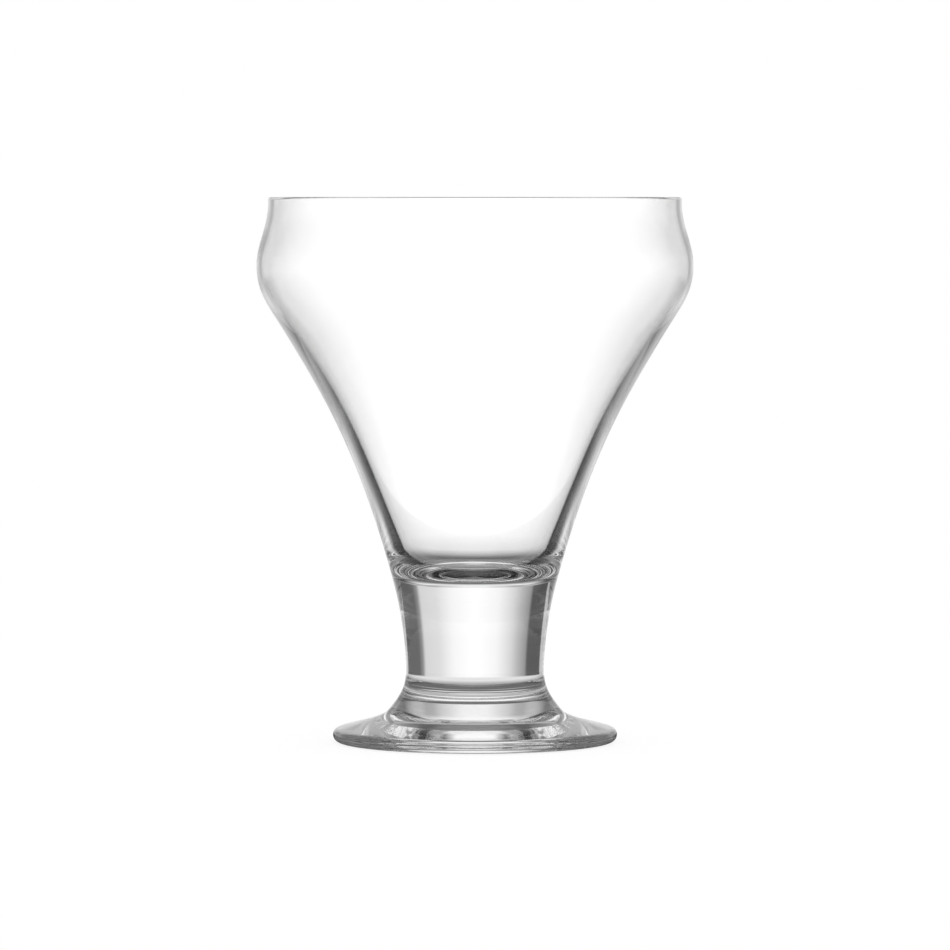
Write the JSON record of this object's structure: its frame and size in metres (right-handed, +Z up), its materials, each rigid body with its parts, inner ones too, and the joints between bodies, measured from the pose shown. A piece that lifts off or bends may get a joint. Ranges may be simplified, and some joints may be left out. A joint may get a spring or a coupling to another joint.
{
  "type": "sundae glass",
  "caption": "Clear footed sundae glass with a flaring bowl, swelling shoulder, drawn-in neck, thick solid stem, flared collar and round foot.",
  "frame": {"origin": "centre of the foot's standing ring, on the plane that the glass rests on", "axes": "+Z up along the axis of the glass; X and Y are alike, because the glass is round"},
  "size_m": [0.0962, 0.0962, 0.12],
  "materials": {
    "clear_glass": "clear, fire-polished soda-lime glass"
  },
  "bodies": {
    "root": {"foot": "clear_glass", "collar": "clear_glass", "stem": "clear_glass", "bowl": "clear_glass"}
  },
  "joints": []
}
